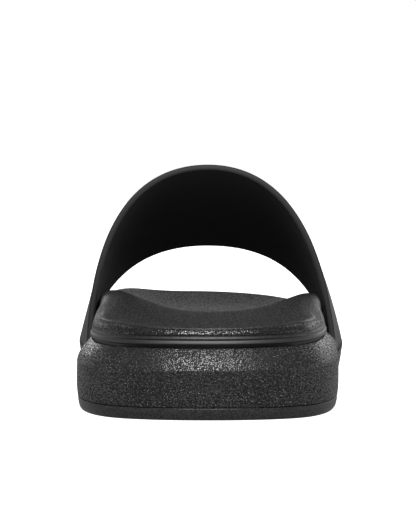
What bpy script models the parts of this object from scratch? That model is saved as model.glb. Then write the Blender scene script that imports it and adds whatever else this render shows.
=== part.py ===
"""Pool slide sandal for the right foot: outsole, midsole, footbed and one wide strap.

Metres, +Z up, +Y towards the toe, +X towards the lateral side.
The origin is under the middle of the shoe's box, on the floor.
"""

import math
from collections import namedtuple

import bmesh
import bpy
import numpy as np

# Driving sizes
LENGTH = 0.288
BALL_WIDTH = 0.1046
OUTSOLE_EDGE = 0.0040
TOE_SPRING = 0.006
TOE_SPRING_START = 0.205
STRAP_THICKNESS = 0.0022
STRAP_FOOT_HEIGHT = 0.0126
STRAP_EDGE_RADIUS = 0.0009

# Seats between the pieces
SEAT_GAP = 0.0003
SEAT_SHARE = 0.45
NECK_DEEP = 0.0034
NECK_SHALLOW = 0.0008
NECK_REACH = (0.003, 0.009)
LEDGE_SETBACK_DEEP = 0.0007
LEDGE_SETBACK_SHALLOW = 0.0005
STRAP_FLUSH = 0.0002
CUTTER_STAND_OFF = 0.004

# Tread: cross channels in the floor face, kept inside a plain border
TREAD_PITCH = 0.0165
TREAD_CHANNEL_WIDTH = 0.0032
TREAD_CHANNEL_DEPTH = 0.0014
TREAD_BORDER = 0.013
TREAD_HEEL = (0.020, 0.086)
TREAD_FOREFOOT = (0.134, 0.246)
TREAD_SIDES = 16

# Mesh density
SIDE_STEPS = 48
ACROSS_STEPS = 14
FLANK_STEPS = 4
STRAP_ACROSS_STEPS = 44
STRAP_ALONG_STEPS = 12
EDGE_SEGMENTS = 2
CURVE_SAMPLES = 2400

# Widest line of the sole from above; across is measured from the heel's middle, medial side negative
OutlinePoint = namedtuple("OutlinePoint", "place along across")
OUTLINE = (
    OutlinePoint("heel back", 0.000, 0.0000),
    OutlinePoint("heel corner medial", 0.010, -0.0325),
    OutlinePoint("heel medial", 0.034, -0.0429),
    OutlinePoint("waist medial", 0.080, -0.0433),
    OutlinePoint("arch medial", 0.125, -0.0460),
    OutlinePoint("ball medial", 0.198, -0.0516),
    OutlinePoint("big toe medial", 0.245, -0.0476),
    OutlinePoint("big toe corner", 0.275, -0.0345),
    OutlinePoint("toe tip", 0.288, -0.0110),
    OutlinePoint("middle toe", 0.281, 0.0165),
    OutlinePoint("fourth toe", 0.258, 0.0382),
    OutlinePoint("little toe", 0.225, 0.0495),
    OutlinePoint("ball lateral", 0.182, 0.0530),
    OutlinePoint("arch lateral", 0.125, 0.0487),
    OutlinePoint("waist lateral", 0.080, 0.0450),
    OutlinePoint("heel lateral", 0.034, 0.0423),
    OutlinePoint("heel corner lateral", 0.010, 0.0325),
)

# Sole from heel to toe: heights of ledge and crest, and insets of bead and brow from the widest line.
# The crest is the footbed's rim; the brow is how far in it lies.
Section = namedtuple(
    "Section",
    "place along ledge_medial ledge_lateral bead_medial bead_lateral"
    " crest_medial crest_lateral brow_medial brow_lateral",
)
SECTIONS = (
    Section("heel back", 0.000, 0.0227, 0.0227, 0.0033, 0.0033, 0.0290, 0.0290, 0.0051, 0.0051),
    Section("heel turn", 0.005, 0.0227, 0.0230, 0.0034, 0.0034, 0.0298, 0.0299, 0.0053, 0.0053),
    Section("heel corner", 0.012, 0.0227, 0.0232, 0.0039, 0.0036, 0.0304, 0.0305, 0.0057, 0.0057),
    Section("heel side", 0.030, 0.0227, 0.0235, 0.0045, 0.0037, 0.0307, 0.0308, 0.0078, 0.0078),
    Section("heel front", 0.048, 0.0228, 0.0239, 0.0045, 0.0040, 0.0316, 0.0313, 0.0105, 0.0112),
    Section("waist", 0.075, 0.0224, 0.0233, 0.0043, 0.0044, 0.0338, 0.0325, 0.0113, 0.0117),
    Section("arch", 0.100, 0.0217, 0.0223, 0.0042, 0.0048, 0.0350, 0.0338, 0.0115, 0.0114),
    Section("instep", 0.120, 0.0210, 0.0213, 0.0046, 0.0055, 0.0347, 0.0336, 0.0115, 0.0114),
    Section("strap", 0.160, 0.0188, 0.0189, 0.0054, 0.0068, 0.0297, 0.0282, 0.0100, 0.0108),
    Section("ball", 0.200, 0.0172, 0.0172, 0.0072, 0.0074, 0.0247, 0.0234, 0.0113, 0.0100),
    Section("toes", 0.245, 0.0178, 0.0178, 0.0056, 0.0060, 0.0277, 0.0237, 0.0084, 0.0084),
    Section("toe corner", 0.272, 0.0185, 0.0185, 0.0050, 0.0052, 0.0273, 0.0247, 0.0074, 0.0074),
    Section("toe tip", 0.288, 0.0190, 0.0190, 0.0046, 0.0046, 0.0253, 0.0253, 0.0064, 0.0064),
)

# Middle line of the footbed's top: height above the floor and the power of the dish across
MiddleRow = namedtuple("MiddleRow", "place along height dish")
FOOTBED_MIDDLE = (
    MiddleRow("heel rim", 0.0051, 0.0290, 2.6),
    MiddleRow("heel cup", 0.0120, 0.0272, 2.6),
    MiddleRow("heel slope", 0.0250, 0.0258, 2.4),
    MiddleRow("heel seat", 0.0500, 0.0249, 2.2),
    MiddleRow("waist", 0.0900, 0.0259, 2.1),
    MiddleRow("arch", 0.1200, 0.0267, 2.0),
    MiddleRow("strap", 0.1500, 0.0249, 2.0),
    MiddleRow("ball", 0.1900, 0.0211, 2.2),
    MiddleRow("toes", 0.2250, 0.0199, 2.4),
    MiddleRow("toe rise", 0.2550, 0.0210, 2.4),
    MiddleRow("toe rim", 0.2820, 0.0251, 2.4),
)

# Side of the midsole: rise from outsole to ledge, tuck as a share of the ledge's inset, at three places
WallRow = namedtuple("WallRow", "place rise back_tuck heel_tuck ball_tuck")
MIDSOLE_WALL = (
    WallRow("seam", 0.000, 0.070, 0.060, 0.18),
    WallRow("lower wall", 0.100, 0.050, 0.018, 0.13),
    WallRow("middle wall", 0.330, 0.030, 0.000, 0.05),
    WallRow("upper wall", 0.540, 0.004, 0.010, 0.00),
    WallRow("crease", 0.625, 0.000, 0.018, 0.02),
    WallRow("turn starts", 0.700, 0.150, 0.100, 0.07),
    WallRow("turn ends", 0.780, 0.330, 0.250, 0.24),
    WallRow("shoulder", 0.890, 0.640, 0.600, 0.60),
    WallRow("ledge edge", 1.000, 1.000, 1.000, 1.00),
)
BACK_REACH = (0.004, 0.020)
HEEL_REACH = (0.070, 0.170)

# Side of the outsole: rise as a share of its edge height, setback from the midsole's lower edge
EdgeRow = namedtuple("EdgeRow", "place rise setback")
OUTSOLE_SIDE = (
    EdgeRow("floor edge", 0.00, 0.0017),
    EdgeRow("round low", 0.10, 0.0012),
    EdgeRow("round middle", 0.33, 0.0007),
    EdgeRow("round high", 0.64, 0.0003),
    EdgeRow("seam", 1.00, 0.0001),
)
CORNER_FULLNESS = 0.40
CORNER_REACH = 0.007

# Side of the footbed above the neck: height above the ledge, setbacks from the bead's widest line
# behind the heel and along the sides
StepRow = namedtuple("StepRow", "place height back_setback side_setback")
FOOTBED_STEPS = (
    StepRow("bead underside", 0.00095, 0.00050, 0.00030),
    StepRow("bead lower", 0.00130, 0.00000, 0.00000),
    StepRow("bead upper", 0.00235, 0.00042, 0.00020),
    StepRow("bead groove", 0.00257, 0.00085, 0.00045),
    StepRow("fine rib lower", 0.00285, 0.00050, 0.00052),
    StepRow("fine rib upper", 0.00345, 0.00074, 0.00058),
    StepRow("rim groove", 0.00375, 0.00112, 0.00066),
    StepRow("rim base", 0.00405, 0.00085, 0.00072),
)
RIB_REACH = (0.003, 0.016)

# Raised sides of the footbed: fullness of the outer curve, and how softly the dish starts at the rim
FlankRow = namedtuple("FlankRow", "place along fullness softness")
FLANKS = (
    FlankRow("heel back", 0.000, 1.40, 0.04),
    FlankRow("heel corner", 0.012, 1.40, 0.10),
    FlankRow("heel side", 0.030, 1.55, 0.26),
    FlankRow("waist", 0.060, 2.50, 0.34),
    FlankRow("instep", 0.120, 3.20, 0.30),
    FlankRow("strap", 0.155, 2.50, 0.22),
    FlankRow("ball", 0.190, 2.30, 0.18),
    FlankRow("toe tip", 0.288, 2.30, 0.12),
)

# Strap: the band's own sections from its rear edge to its front edge; leans are in degrees
StrapRow = namedtuple(
    "StrapRow",
    "place share medial_along apex_along lateral_along apex_height"
    " medial_lean lateral_lean foot_pull medial_pull lateral_pull",
)
STRAP = (
    StrapRow("rear edge", 0.0, 0.112, 0.130, 0.110, 0.0813, 0.9, 4.4, 0.735, 0.546, 0.500),
    StrapRow("middle", 0.5, 0.162, 0.170, 0.161, 0.0656, 9.0, 10.4, 0.730, 0.580, 0.560),
    StrapRow("front edge", 1.0, 0.212, 0.210, 0.212, 0.0497, 19.0, 18.5, 0.713, 0.510, 0.510),
)

# Colours of the plain solids: linear red, green, blue, and roughness
FOAM_BLACK = (0.020, 0.020, 0.021)
FOAM_ROUGHNESS = 0.55
STRAP_BLACK = (0.012, 0.012, 0.012)
STRAP_ROUGHNESS = 0.62
RUBBER_BLACK = (0.016, 0.016, 0.016)
RUBBER_ROUGHNESS = 0.7


def clear_scene():
    """Remove every object of the startup scene."""
    for obj in list(bpy.data.objects):
        bpy.data.objects.remove(obj)


def smooth_step(low, high, at):
    """Rise from 0 at low to 1 at high, level at both ends."""
    share = np.clip((np.asarray(at, float) - low) / (high - low), 0.0, 1.0)
    return share**2 * (3 - 2 * share)


def smooth_table(rows, key, column, at):
    """Cubic Hermite curve through one column of a table, read at the key values given."""
    keys = np.array([getattr(row, key) for row in rows])
    values = np.array([getattr(row, column) for row in rows])
    slopes = np.gradient(values, keys)
    at = np.clip(np.asarray(at, float), keys[0], keys[-1])
    span = np.clip(np.searchsorted(keys, at, side="right") - 1, 0, len(keys) - 2)
    width = keys[span + 1] - keys[span]
    t = (at - keys[span]) / width
    return (
        values[span] * (1 + 2 * t) * (1 - t) ** 2
        + slopes[span] * width * t * (1 - t) ** 2
        + values[span + 1] * t**2 * (3 - 2 * t)
        + slopes[span + 1] * width * t**2 * (t - 1)
    )


def closed_spline(points, samples):
    """Smooth closed curve through the points: a periodic cubic spline over chord length."""
    points = np.asarray(points, float)
    count = len(points)
    chords = np.linalg.norm(np.roll(points, -1, axis=0) - points, axis=1)
    rises = (np.roll(points, -1, axis=0) - points) / chords[:, None]
    matrix = np.zeros((count, count))
    right = np.zeros_like(points)
    for i in range(count):
        before, after = chords[i - 1], chords[i]
        matrix[i, i - 1] += after
        matrix[i, i] += 2 * (before + after)
        matrix[i, (i + 1) % count] += before
        right[i] = 3 * (after * rises[i - 1] + before * rises[i])
    slopes = np.linalg.solve(matrix, right)
    starts = np.concatenate([[0.0], np.cumsum(chords)])
    at = np.linspace(0.0, starts[-1], samples, endpoint=False)
    span = np.clip(np.searchsorted(starts, at, side="right") - 1, 0, count - 1)
    after = (span + 1) % count
    width = chords[span][:, None]
    t = ((at - starts[span]) / chords[span])[:, None]
    return (
        points[span] * (1 + 2 * t) * (1 - t) ** 2
        + slopes[span] * width * t * (1 - t) ** 2
        + points[after] * t**2 * (3 - 2 * t)
        + slopes[after] * width * t**2 * (t - 1)
    )


def even_steps(path, steps):
    """Points along a path at even distances, both ends included."""
    lengths = np.concatenate([[0.0], np.cumsum(np.linalg.norm(np.diff(path, axis=0), axis=1))])
    at = np.linspace(0.0, lengths[-1], steps + 1)
    return np.column_stack([np.interp(at, lengths, path[:, axis]) for axis in range(2)])


class SoleOutline:
    """The sole's widest line from above: from the heel's back, up the medial side, round the toe and back."""

    def __init__(self):
        curve = closed_spline([(p.across, p.along) for p in OUTLINE], CURVE_SAMPLES)
        low, high = curve.min(axis=0), curve.max(axis=0)
        self.heel_shift = -(low[0] + high[0]) / 2
        middle = np.array([(low[0] + high[0]) / 2, low[1]])
        curve = (curve - middle) * np.array([BALL_WIDTH, LENGTH]) / (high - low)
        heel, toe = curve[:, 1].argmin(), curve[:, 1].argmax()
        curve = np.roll(curve, -heel, axis=0)
        toe = (toe - heel) % CURVE_SAMPLES
        self.medial = curve[: toe + 1]
        self.lateral = np.vstack([curve[toe:], curve[:1]])
        loop = np.vstack(
            [even_steps(self.medial, SIDE_STEPS)[:-1], even_steps(self.lateral, SIDE_STEPS)[:-1]]
        )
        tangent = np.roll(loop, -1, axis=0) - np.roll(loop, 1, axis=0)
        tangent /= np.linalg.norm(tangent, axis=1)[:, None]
        self.loop = loop
        self.inward = np.column_stack([tangent[:, 1], -tangent[:, 0]])
        self.along = loop[:, 1]

    def ring(self, inset, height):
        """The loop moved inwards by inset and set at a height: one value, or one for each point."""
        count = len(self.loop)
        plan = self.loop + self.inward * np.broadcast_to(inset, count)[:, None]
        return place(plan[:, 0], plan[:, 1], np.broadcast_to(height, count))

    def half_width(self, side, along):
        """Place across, in the frame, of the widest line on the medial (-1) or lateral (+1) side."""
        path = self.medial if side < 0 else self.lateral[::-1]
        return np.interp(along, path[:, 1], path[:, 0])


def place(across, along, height):
    """Points of the frame from distances across, along from the heel's back, and above the floor."""
    return np.column_stack([across, np.asarray(along) - LENGTH / 2, height])


def toe_lift(along):
    """Rise of the sole's underside towards the toe: level to the ball, then a parabola."""
    share = np.clip((np.asarray(along) - TOE_SPRING_START) / (LENGTH - TOE_SPRING_START), 0.0, 1.0)
    return TOE_SPRING * share**2


def sided(name, outline):
    """One size of the sole's section table for each point of the loop, medial half first."""
    medial, lateral = (
        smooth_table(SECTIONS, "along", f"{name}_{side}", outline.along) for side in ("medial", "lateral")
    )
    return np.where(np.arange(len(outline.along)) <= SIDE_STEPS, medial, lateral)


def neck(outline):
    """How far the footbed's neck lies behind its bead: deep behind the heel, shallow along the sides."""
    return NECK_DEEP + (NECK_SHALLOW - NECK_DEEP) * smooth_step(*NECK_REACH, outline.along)


def ledge_setback(outline):
    """How far the ledge's edge lies behind the bead, like the neck's depth."""
    change = LEDGE_SETBACK_SHALLOW - LEDGE_SETBACK_DEEP
    return LEDGE_SETBACK_DEEP + change * smooth_step(*NECK_REACH, outline.along)


def seat_floor(outline):
    """Height of the floor of the seat that the midsole holds the footbed in."""
    seam = toe_lift(outline.along) + OUTSOLE_EDGE
    return seam + SEAT_SHARE * (sided("ledge", outline) - seam)


def crest_ring(outline):
    """The footbed's rim line."""
    return outline.ring(sided("brow", outline), sided("crest", outline))


def paired_rows(ring):
    """Rows across the sole: each medial point of a ring with the lateral point opposite it."""
    count = len(ring)
    return [(ring[i], ring[(count - i) % count]) for i in range(count // 2 + 1)]


def dished_rows(outline):
    """The footbed's top as rows across: a dish that falls from rim to middle by a power curve.

    A square root rounds the fall off where it starts at the rim.
    """
    ring = crest_ring(outline)
    across = np.linspace(-1.0, 1.0, ACROSS_STEPS + 1)
    rows = []
    for i, (medial, lateral) in enumerate(paired_rows(ring)):
        along = (medial[1] + lateral[1]) / 2 + LENGTH / 2
        middle = smooth_table(FOOTBED_MIDDLE, "along", "height", along)
        power = smooth_table(FOOTBED_MIDDLE, "along", "dish", along)
        soft = smooth_table(FLANKS, "along", "softness", along)
        share = (across[:, None] + 1) / 2
        row = medial + (lateral - medial) * share
        rim = np.where(across < 0, medial[2], lateral[2])
        fall = 1 - np.abs(across) ** power
        fall = (np.hypot(fall, soft) - soft) / (np.hypot(1, soft) - soft)
        row[:, 2] = rim - (rim - middle) * fall
        row[0], row[-1] = medial, lateral
        rows.append(row)
    return rows


def loft(rings, top_rows=None):
    """A closed mesh from stacked rings; the ends are ruled across, or the top takes rows of its own."""
    mesh = bmesh.new()
    loops = [[mesh.verts.new(point) for point in ring] for ring in rings]
    count = len(loops[0])
    for below, above in zip(loops, loops[1:]):
        for i in range(count):
            j = (i + 1) % count
            mesh.faces.new((below[i], below[j], above[j], above[i]))
    rule_across(mesh, loops[0])
    if top_rows is None:
        rule_across(mesh, loops[-1])
    else:
        fill_rows(mesh, loops[-1], top_rows)
    bmesh.ops.recalc_face_normals(mesh, faces=mesh.faces)
    return mesh


def rule_across(mesh, loop):
    """Close a loop with strips from each medial point to the lateral point opposite."""
    fill_rows(mesh, loop, None)


def fill_rows(mesh, loop, rows):
    """Close a loop with rows of points across it; without rows, straight strips."""
    count = len(loop)
    half = count // 2
    lines = []
    for i in range(half + 1):
        if i in (0, half):
            lines.append([loop[i]])
            continue
        inner = [] if rows is None else [mesh.verts.new(point) for point in rows[i][1:-1]]
        lines.append([loop[i], *inner, loop[count - i]])
    for here, there in zip(lines, lines[1:]):
        short, wide = (here, there) if len(here) < len(there) else (there, here)
        if len(short) == 1:
            for a, b in zip(wide, wide[1:]):
                mesh.faces.new((short[0], a, b))
        else:
            for k in range(len(wide) - 1):
                mesh.faces.new((here[k], here[k + 1], there[k + 1], there[k]))


def finish_mesh(name, mesh, collection, material):
    """Make an object from a bmesh, shade it smooth and give it its material."""
    data = bpy.data.meshes.new(name)
    mesh.to_mesh(data)
    mesh.free()
    obj = bpy.data.objects.new(name, data)
    collection.objects.link(obj)
    data.shade_smooth()
    data.set_sharp_from_angle(angle=math.radians(35))
    if material:
        data.materials.append(material)
    return obj


def plain_material(name, colour, roughness):
    """A Principled material of one colour."""
    material = bpy.data.materials.new(name)
    material.use_nodes = True
    shader = material.node_tree.nodes["Principled BSDF"]
    shader.inputs["Base Color"].default_value = (*colour, 1.0)
    shader.inputs["Roughness"].default_value = roughness
    shader.inputs["Metallic"].default_value = 0.0
    return material


def make_helper(obj):
    """Mark an object as a cutter: drawn as wire, never rendered."""
    obj.hide_render = True
    obj.display_type = "WIRE"


def cut(obj, cutter):
    """Take the cutter's shape out of an object."""
    modifier = obj.modifiers.new(f"cut {cutter.name}", "BOOLEAN")
    modifier.operation = "DIFFERENCE"
    modifier.solver = "EXACT"
    modifier.object = cutter


def wall_inset(row, outline):
    """Inset of one row of the midsole's wall: the tuck of the back blends into the heel's, then the ball's."""
    tuck = row.back_tuck + (row.heel_tuck - row.back_tuck) * smooth_step(*BACK_REACH, outline.along)
    tuck += (row.ball_tuck - row.heel_tuck) * smooth_step(*HEEL_REACH, outline.along)
    return tuck * (sided("bead", outline) + ledge_setback(outline))


def outsole_mesh(outline):
    """Thin rubber plate with a lower edge rounded most behind the heel; its top lies just under the midsole."""
    lift = toe_lift(outline.along)
    top = OUTSOLE_EDGE - SEAT_GAP / 2
    edge = wall_inset(MIDSOLE_WALL[0], outline)
    full = 1 - CORNER_FULLNESS * (1 - np.exp(-((outline.along / CORNER_REACH) ** 2)))
    return loft([outline.ring(edge + row.setback * full, lift + row.rise * top) for row in OUTSOLE_SIDE])


def midsole_mesh(outline):
    """Thick foam body: rounded wall, sloped shoulder, ledge and the seat that the footbed drops into."""
    ledge = sided("ledge", outline)
    seam = toe_lift(outline.along) + OUTSOLE_EDGE + SEAT_GAP / 2
    seat_inset = sided("bead", outline) + neck(outline)
    rings = [
        outline.ring(wall_inset(row, outline), seam + row.rise * (ledge - seam)) for row in MIDSOLE_WALL
    ]
    rings.append(outline.ring(seat_inset, ledge))
    rings.append(outline.ring(seat_inset, seat_floor(outline)))
    return loft(rings)


def footbed_mesh(outline):
    """Moulded footbed: neck in the midsole's seat, bead, fine rib, flank and dished top."""
    ledge = sided("ledge", outline)
    bead = sided("bead", outline)
    neck_inset = bead + neck(outline) + SEAT_GAP
    brow, crest = sided("brow", outline), sided("crest", outline)
    rings = [
        outline.ring(neck_inset, seat_floor(outline) + SEAT_GAP),
        outline.ring(neck_inset, ledge + FOOTBED_STEPS[0].height),
    ]
    plain = smooth_step(*RIB_REACH, outline.along)
    for row in FOOTBED_STEPS:
        base_inset = bead + row.back_setback + (row.side_setback - row.back_setback) * plain
        base = ledge + row.height
        rings.append(outline.ring(base_inset, base))
    bulge = 2.0 / smooth_table(FLANKS, "along", "fullness", outline.along)
    for step in range(1, FLANK_STEPS):
        turn = math.radians(90.0 * step / FLANK_STEPS)
        inset = base_inset + (brow - base_inset) * (1 - math.cos(turn) ** bulge)
        rings.append(outline.ring(inset, base + (crest - base) * math.sin(turn) ** bulge))
    rings.append(crest_ring(outline))
    return loft(rings, dished_rows(outline))


def strap_column(column, share):
    """One column of the strap table; share runs from the rear edge to the front edge."""
    keys = [row.share for row in STRAP]
    values = [getattr(row, column) for row in STRAP]
    return float(np.polyval(np.polyfit(keys, values, len(keys) - 1), share))


def strap_point(outline, share, turn):
    """A point of the strap's outer face.

    turn runs from -1 at the medial foot, over the instep at 0, to +1 at the lateral foot.
    Each half is one cubic curve: it leaves the sole with a lean and arrives level at the apex.
    The line along follows a parabola through the two feet and the apex.
    """
    medial, apex, lateral = (
        strap_column(column, share) for column in ("medial_along", "apex_along", "lateral_along")
    )
    side = -1 if turn < 0 else 1
    foot_along = medial if side < 0 else lateral
    foot = outline.half_width(side, foot_along) - side * STRAP_FLUSH - outline.heel_shift
    top = strap_column("apex_height", share)
    lean = math.radians(strap_column("medial_lean" if side < 0 else "lateral_lean", share))
    rise = top - STRAP_FOOT_HEIGHT
    pull = strap_column("foot_pull", share) * rise
    controls = (
        (foot, STRAP_FOOT_HEIGHT),
        (foot - side * pull * math.sin(lean), STRAP_FOOT_HEIGHT + pull * math.cos(lean)),
        (foot * strap_column("medial_pull" if side < 0 else "lateral_pull", share), top),
        (0.0, top),
    )
    q = 1 - abs(turn)
    weights = ((1 - q) ** 3, 3 * q * (1 - q) ** 2, 3 * q**2 * (1 - q), q**3)
    across = sum(w * x for w, (x, _) in zip(weights, controls)) + outline.heel_shift
    height = sum(w * z for w, (_, z) in zip(weights, controls))
    along = apex + (lateral - medial) / 2 * turn + ((lateral + medial) / 2 - apex) * turn**2
    return across, along - LENGTH / 2, height


def strap_surface(outline, margin):
    """The strap's outer face as an open grid, grown past its edges by a margin."""
    mesh = bmesh.new()
    bmesh.ops.create_grid(mesh, x_segments=STRAP_ACROSS_STEPS, y_segments=STRAP_ALONG_STEPS, size=1.0)
    band = STRAP[-1].apex_along - STRAP[0].apex_along
    girth = 2 * (STRAP[0].apex_height - STRAP_FOOT_HEIGHT)
    for vert in mesh.verts:
        share = 0.5 + vert.co.y * (0.5 + margin / band)
        turn = vert.co.x * (1 + 2 * margin / girth)
        vert.co = strap_point(outline, share, turn)
    bmesh.ops.recalc_face_normals(mesh, faces=mesh.faces)
    return mesh


def make_strap(outline, collection, material):
    """The upper: one moulded band of even thickness with softened edges."""
    strap = finish_mesh("strap", strap_surface(outline, 0.0), collection, material)
    wall = strap.modifiers.new("wall", "SOLIDIFY")
    wall.thickness = STRAP_THICKNESS
    wall.offset = -1.0
    wall.use_even_offset = True
    edge = strap.modifiers.new("soft edges", "BEVEL")
    edge.width = STRAP_EDGE_RADIUS
    edge.segments = EDGE_SEGMENTS
    edge.limit_method = "ANGLE"
    edge.angle_limit = math.radians(50)
    return strap


def make_strap_seat(outline, collection):
    """Cutter for the recess that the strap's feet lie in: the band grown by the gap, opened outwards."""
    seat = finish_mesh("strap_seat", strap_surface(outline, SEAT_GAP), collection, None)
    wall = seat.modifiers.new("wall", "SOLIDIFY")
    wall.thickness = STRAP_THICKNESS + SEAT_GAP + CUTTER_STAND_OFF
    wall.offset = 2 * CUTTER_STAND_OFF / wall.thickness - 1.0
    wall.use_even_offset = True
    make_helper(seat)
    return seat


def make_channels(outline, collection):
    """Cutters for the tread: straight channels with round ends, across heel and forefoot."""
    cutters = []
    for first, last in (TREAD_HEEL, TREAD_FOREFOOT):
        count = int((last - first) / TREAD_PITCH) + 1
        for i in range(count):
            along = first + i * TREAD_PITCH
            low = outline.half_width(-1, along) + TREAD_BORDER
            high = outline.half_width(1, along) - TREAD_BORDER
            cutters.append(make_channel(along, low, high, collection))
    return cutters


def make_channel(along, low, high, collection):
    """One channel cutter: a bar with half-round ends, standing through the floor face."""
    mesh = bmesh.new()
    radius = TREAD_CHANNEL_WIDTH / 2
    height = 2 * TREAD_CHANNEL_DEPTH
    bmesh.ops.create_cone(
        mesh, cap_ends=True, segments=TREAD_SIDES, radius1=radius, radius2=radius, depth=height
    )
    for vert in mesh.verts:
        vert.co.x += high - radius if vert.co.x > 0 else low + radius
        vert.co.y += along - LENGTH / 2
        vert.co.z += float(toe_lift(along))
    channel = finish_mesh(f"channel_{along * 1000:.0f}", mesh, collection, None)
    make_helper(channel)
    return channel


def main():
    clear_scene()
    parts = bpy.data.collections.new("Sandal")
    cutters = bpy.data.collections.new("Cutters")
    for collection in (parts, cutters):
        bpy.context.scene.collection.children.link(collection)
    foam = plain_material("foam", FOAM_BLACK, FOAM_ROUGHNESS)
    rubber = plain_material("rubber", RUBBER_BLACK, RUBBER_ROUGHNESS)
    band = plain_material("band", STRAP_BLACK, STRAP_ROUGHNESS)

    outline = SoleOutline()
    outsole = finish_mesh("outsole", outsole_mesh(outline), parts, rubber)
    midsole = finish_mesh("midsole", midsole_mesh(outline), parts, foam)
    finish_mesh("footbed", footbed_mesh(outline), parts, foam)
    make_strap(outline, parts, band)
    cut(midsole, make_strap_seat(outline, cutters))
    for channel in make_channels(outline, cutters):
        cut(outsole, channel)


main()
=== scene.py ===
"""Pool slide sandal for the right foot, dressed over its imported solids.

Metres, +Z up, +Y towards the toe, +X towards the lateral side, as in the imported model.
Every piece is a surface worked out on a grid from the sizes that its solid has.
"""

from __future__ import annotations

import logging
import math
from dataclasses import dataclass, field
from enum import Enum
from typing import Any, NamedTuple, Sequence, Union

import bmesh
import bpy
import numpy as np
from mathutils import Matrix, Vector

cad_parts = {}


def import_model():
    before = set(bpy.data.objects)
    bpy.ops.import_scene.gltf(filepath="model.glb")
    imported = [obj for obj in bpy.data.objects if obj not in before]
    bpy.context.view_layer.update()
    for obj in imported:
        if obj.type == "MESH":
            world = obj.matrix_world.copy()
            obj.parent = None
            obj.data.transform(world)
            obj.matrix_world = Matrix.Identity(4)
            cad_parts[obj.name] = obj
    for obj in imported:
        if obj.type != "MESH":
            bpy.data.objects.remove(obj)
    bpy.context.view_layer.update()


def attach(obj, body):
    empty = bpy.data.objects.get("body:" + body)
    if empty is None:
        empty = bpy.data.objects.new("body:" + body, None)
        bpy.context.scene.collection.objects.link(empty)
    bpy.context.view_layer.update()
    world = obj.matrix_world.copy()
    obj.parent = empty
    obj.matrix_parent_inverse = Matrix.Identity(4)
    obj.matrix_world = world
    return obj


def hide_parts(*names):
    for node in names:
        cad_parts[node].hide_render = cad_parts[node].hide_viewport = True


LOG = logging.getLogger("sandal")
IMAGE_WIDTH, IMAGE_HEIGHT = 416, 520
SENSOR_WIDTH = 36.0
WELD_DIGITS = 7
CREASE = math.radians(30.0)
CORNER_LIMIT = 0.48
CLOUD_DETAIL = 3.0
WHITE = (1.0, 1.0, 1.0, 1.0)

Array = np.ndarray
Pair = tuple[Array, Array]
Span = tuple[float, float]
Colour = tuple[float, float, float]
Given = Union["Value", bpy.types.NodeSocket, float, Sequence[float]]
Settings = dict[str, Any]
Inputs = dict[Any, Given]


class Side(Enum):
    """Which side of the foot."""

    MEDIAL = -1
    LATERAL = 1


class Slot(Enum):
    """The record's material slots, which are also the names of the solids."""

    OUTSOLE = "outsole"
    MIDSOLE = "midsole"
    FOOTBED = "footbed"
    STRAP = "strap"


class OutlinePoint(NamedTuple):
    """A point of the sole's widest line, along from the heel's back and across from its middle."""

    along: float
    across: float


class Section(NamedTuple):
    """The sole at one distance along: heights of ledge and crest, and insets of bead and brow.

    The crest is the footbed's rim, and the brow is how far in from the widest line it lies.
    """

    along: float
    ledge_medial: float
    ledge_lateral: float
    bead_medial: float
    bead_lateral: float
    crest_medial: float
    crest_lateral: float
    brow_medial: float
    brow_lateral: float


class MiddleRow(NamedTuple):
    """The footbed's middle line at one distance along: its height and the power of the dish."""

    along: float
    height: float
    dish: float


class WallRow(NamedTuple):
    """A row of the midsole's wall: its rise from seam to ledge, and its tucks.

    A tuck is a share of the ledge's inset, at the heel's back, at the heel and at the ball.
    """

    rise: float
    back_tuck: float
    heel_tuck: float
    ball_tuck: float


class EdgeRow(NamedTuple):
    """A row of the outsole's side: share of its height, and setback from the seam above."""

    rise: float
    setback: float


class RoofRow(NamedTuple):
    """A row of a tread channel's section: shares of its depth and of half its width."""

    rise: float
    spread: float


class StepRow(NamedTuple):
    """A corner of the footbed's side: height above the ledge, setbacks from the bead, rounding.

    The stipple is how strongly the grain shows there.
    """

    height: float
    back_setback: float
    side_setback: float
    rounding: float
    stipple: float


class LipRow(NamedTuple):
    """A point of the rim's section behind the heel: shares of the way in and up to the crest."""

    turn: float
    inset: float
    rise: float


class FlankRow(NamedTuple):
    """The rim at one distance along: power of its outer face, and softness of the dish there."""

    along: float
    fullness: float
    softness: float


class StrapRow(NamedTuple):
    """The strap's section at one share of the way from its rear edge to its front edge."""

    share: float
    medial_along: float
    apex_along: float
    lateral_along: float
    apex_height: float
    medial_lean: float
    lateral_lean: float
    foot_pull: float
    medial_pull: float
    lateral_pull: float


def blend(first: Array, second: Array, share: Array) -> Array:
    """Go from the first value to the second by a share from 0 to 1."""
    return first + (second - first) * share


def softened(value: Array, softness: Array) -> Array:
    """Round off a value's corner at 0 with a square root that keeps 0 and 1 in place."""
    return (np.sqrt(value**2 + softness**2) - softness) / (np.sqrt(1 + softness**2) - softness)


def smooth_step(low: float, high: float, at: Array) -> Array:
    """Rise from 0 at low to 1 at high, level at both ends.

    Args:
        low: Where the rise starts.
        high: Where it ends.
        at: Places to read.

    Returns:
        3t^2 - 2t^3 of the share t of the way.
    """
    share = np.clip((np.asarray(at, float) - low) / (high - low), 0.0, 1.0)
    return share**2 * (3.0 - 2.0 * share)


def hermite(ends: Pair, slopes: Pair, width: Array, t: Array) -> Array:
    """Cubic between two ends that has a given slope at each.

    Args:
        ends: Values at the start and at the end.
        slopes: Slopes at the start and at the end.
        width: Distance from the start to the end.
        t: Shares of that distance.

    Returns:
        The value at each share.
    """
    return (
        ends[0] * (1 + 2 * t) * (1 - t) ** 2
        + slopes[0] * width * t * (1 - t) ** 2
        + ends[1] * t**2 * (3 - 2 * t)
        + slopes[1] * width * t**2 * (t - 1)
    )


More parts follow.
